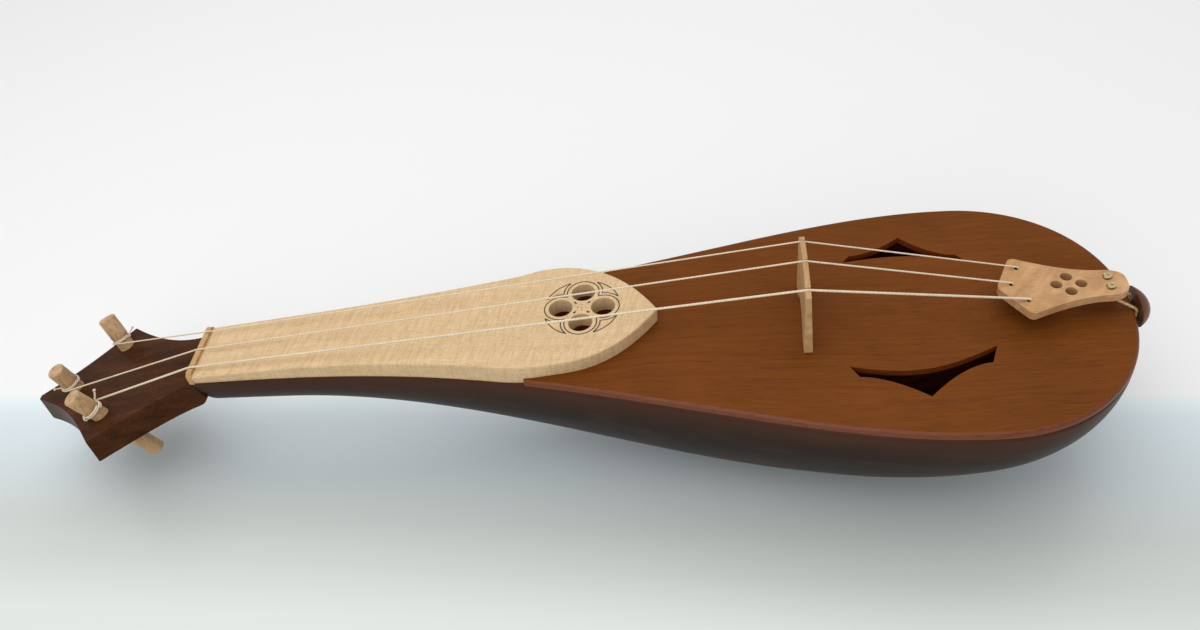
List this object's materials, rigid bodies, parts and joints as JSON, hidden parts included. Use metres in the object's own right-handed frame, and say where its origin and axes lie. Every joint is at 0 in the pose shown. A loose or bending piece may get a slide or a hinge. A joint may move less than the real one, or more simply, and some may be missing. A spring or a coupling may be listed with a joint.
{
  "type": "rebec",
  "caption": "Pear-shaped bowed string instrument with a carved bowl, flat soundboard, pale deck with a rosette, tilted head with dowel pegs, bridge and tailpiece.",
  "frame": {"origin": "under the middle of the whole length, at the level of the lowest point of the bowl", "axes": "+X from the head to the tail lug along the strings, +Z square to the soundboard and out of it, the soundboard parallel to XY"},
  "size_m": [0.6126, 0.161, 0.1188],
  "materials": {
    "dark_wood": "satin",
    "board_wood": "satin",
    "maple": "matte",
    "light_wood": "matte",
    "peg_wood": "matte",
    "gut": "satin"
  },
  "bodies": {
    "instrument": {"bowl_and_neck": "dark_wood", "head": "dark_wood", "soundboard": "board_wood", "deck": "maple", "nut": "light_wood", "bridge": "light_wood", "tailpiece": "maple", "tail_lug": "dark_wood", "tail_gut": "gut", "tail_gut_knot_far": "gut", "tail_gut_knot_near": "gut", "string_far": "gut", "string_middle": "gut", "string_near": "gut", "string_knot_far": "gut", "string_knot_middle": "gut", "string_knot_near": "gut"},
    "tuning_peg_far": {"peg_far": "peg_wood", "winding_far": "gut", "string_end_far": "gut"},
    "tuning_peg_middle": {"peg_middle": "peg_wood", "winding_middle": "gut", "string_end_middle": "gut"},
    "tuning_peg_near": {"peg_near": "peg_wood", "winding_near": "gut", "string_end_near": "gut"}
  },
  "joints": [
    {"name": "peg_turn_far", "type": "hinge", "parent": "instrument", "child": "tuning_peg_far", "pos_m": [-0.25805, 0.029, 0.05477], "axis": [-0.3462, 0.2588, 0.9018], "continuous": true},
    {"name": "peg_turn_middle", "type": "hinge", "parent": "instrument", "child": "tuning_peg_middle", "pos_m": [-0.28046, 0.001, 0.04959], "axis": [-0.2406, -0.1045, 0.965], "continuous": true},
    {"name": "peg_turn_near", "type": "hinge", "parent": "instrument", "child": "tuning_peg_near", "pos_m": [-0.25025, -0.027, 0.05656], "axis": [-0.4037, -0.1219, 0.9067], "continuous": true}
  ]
}
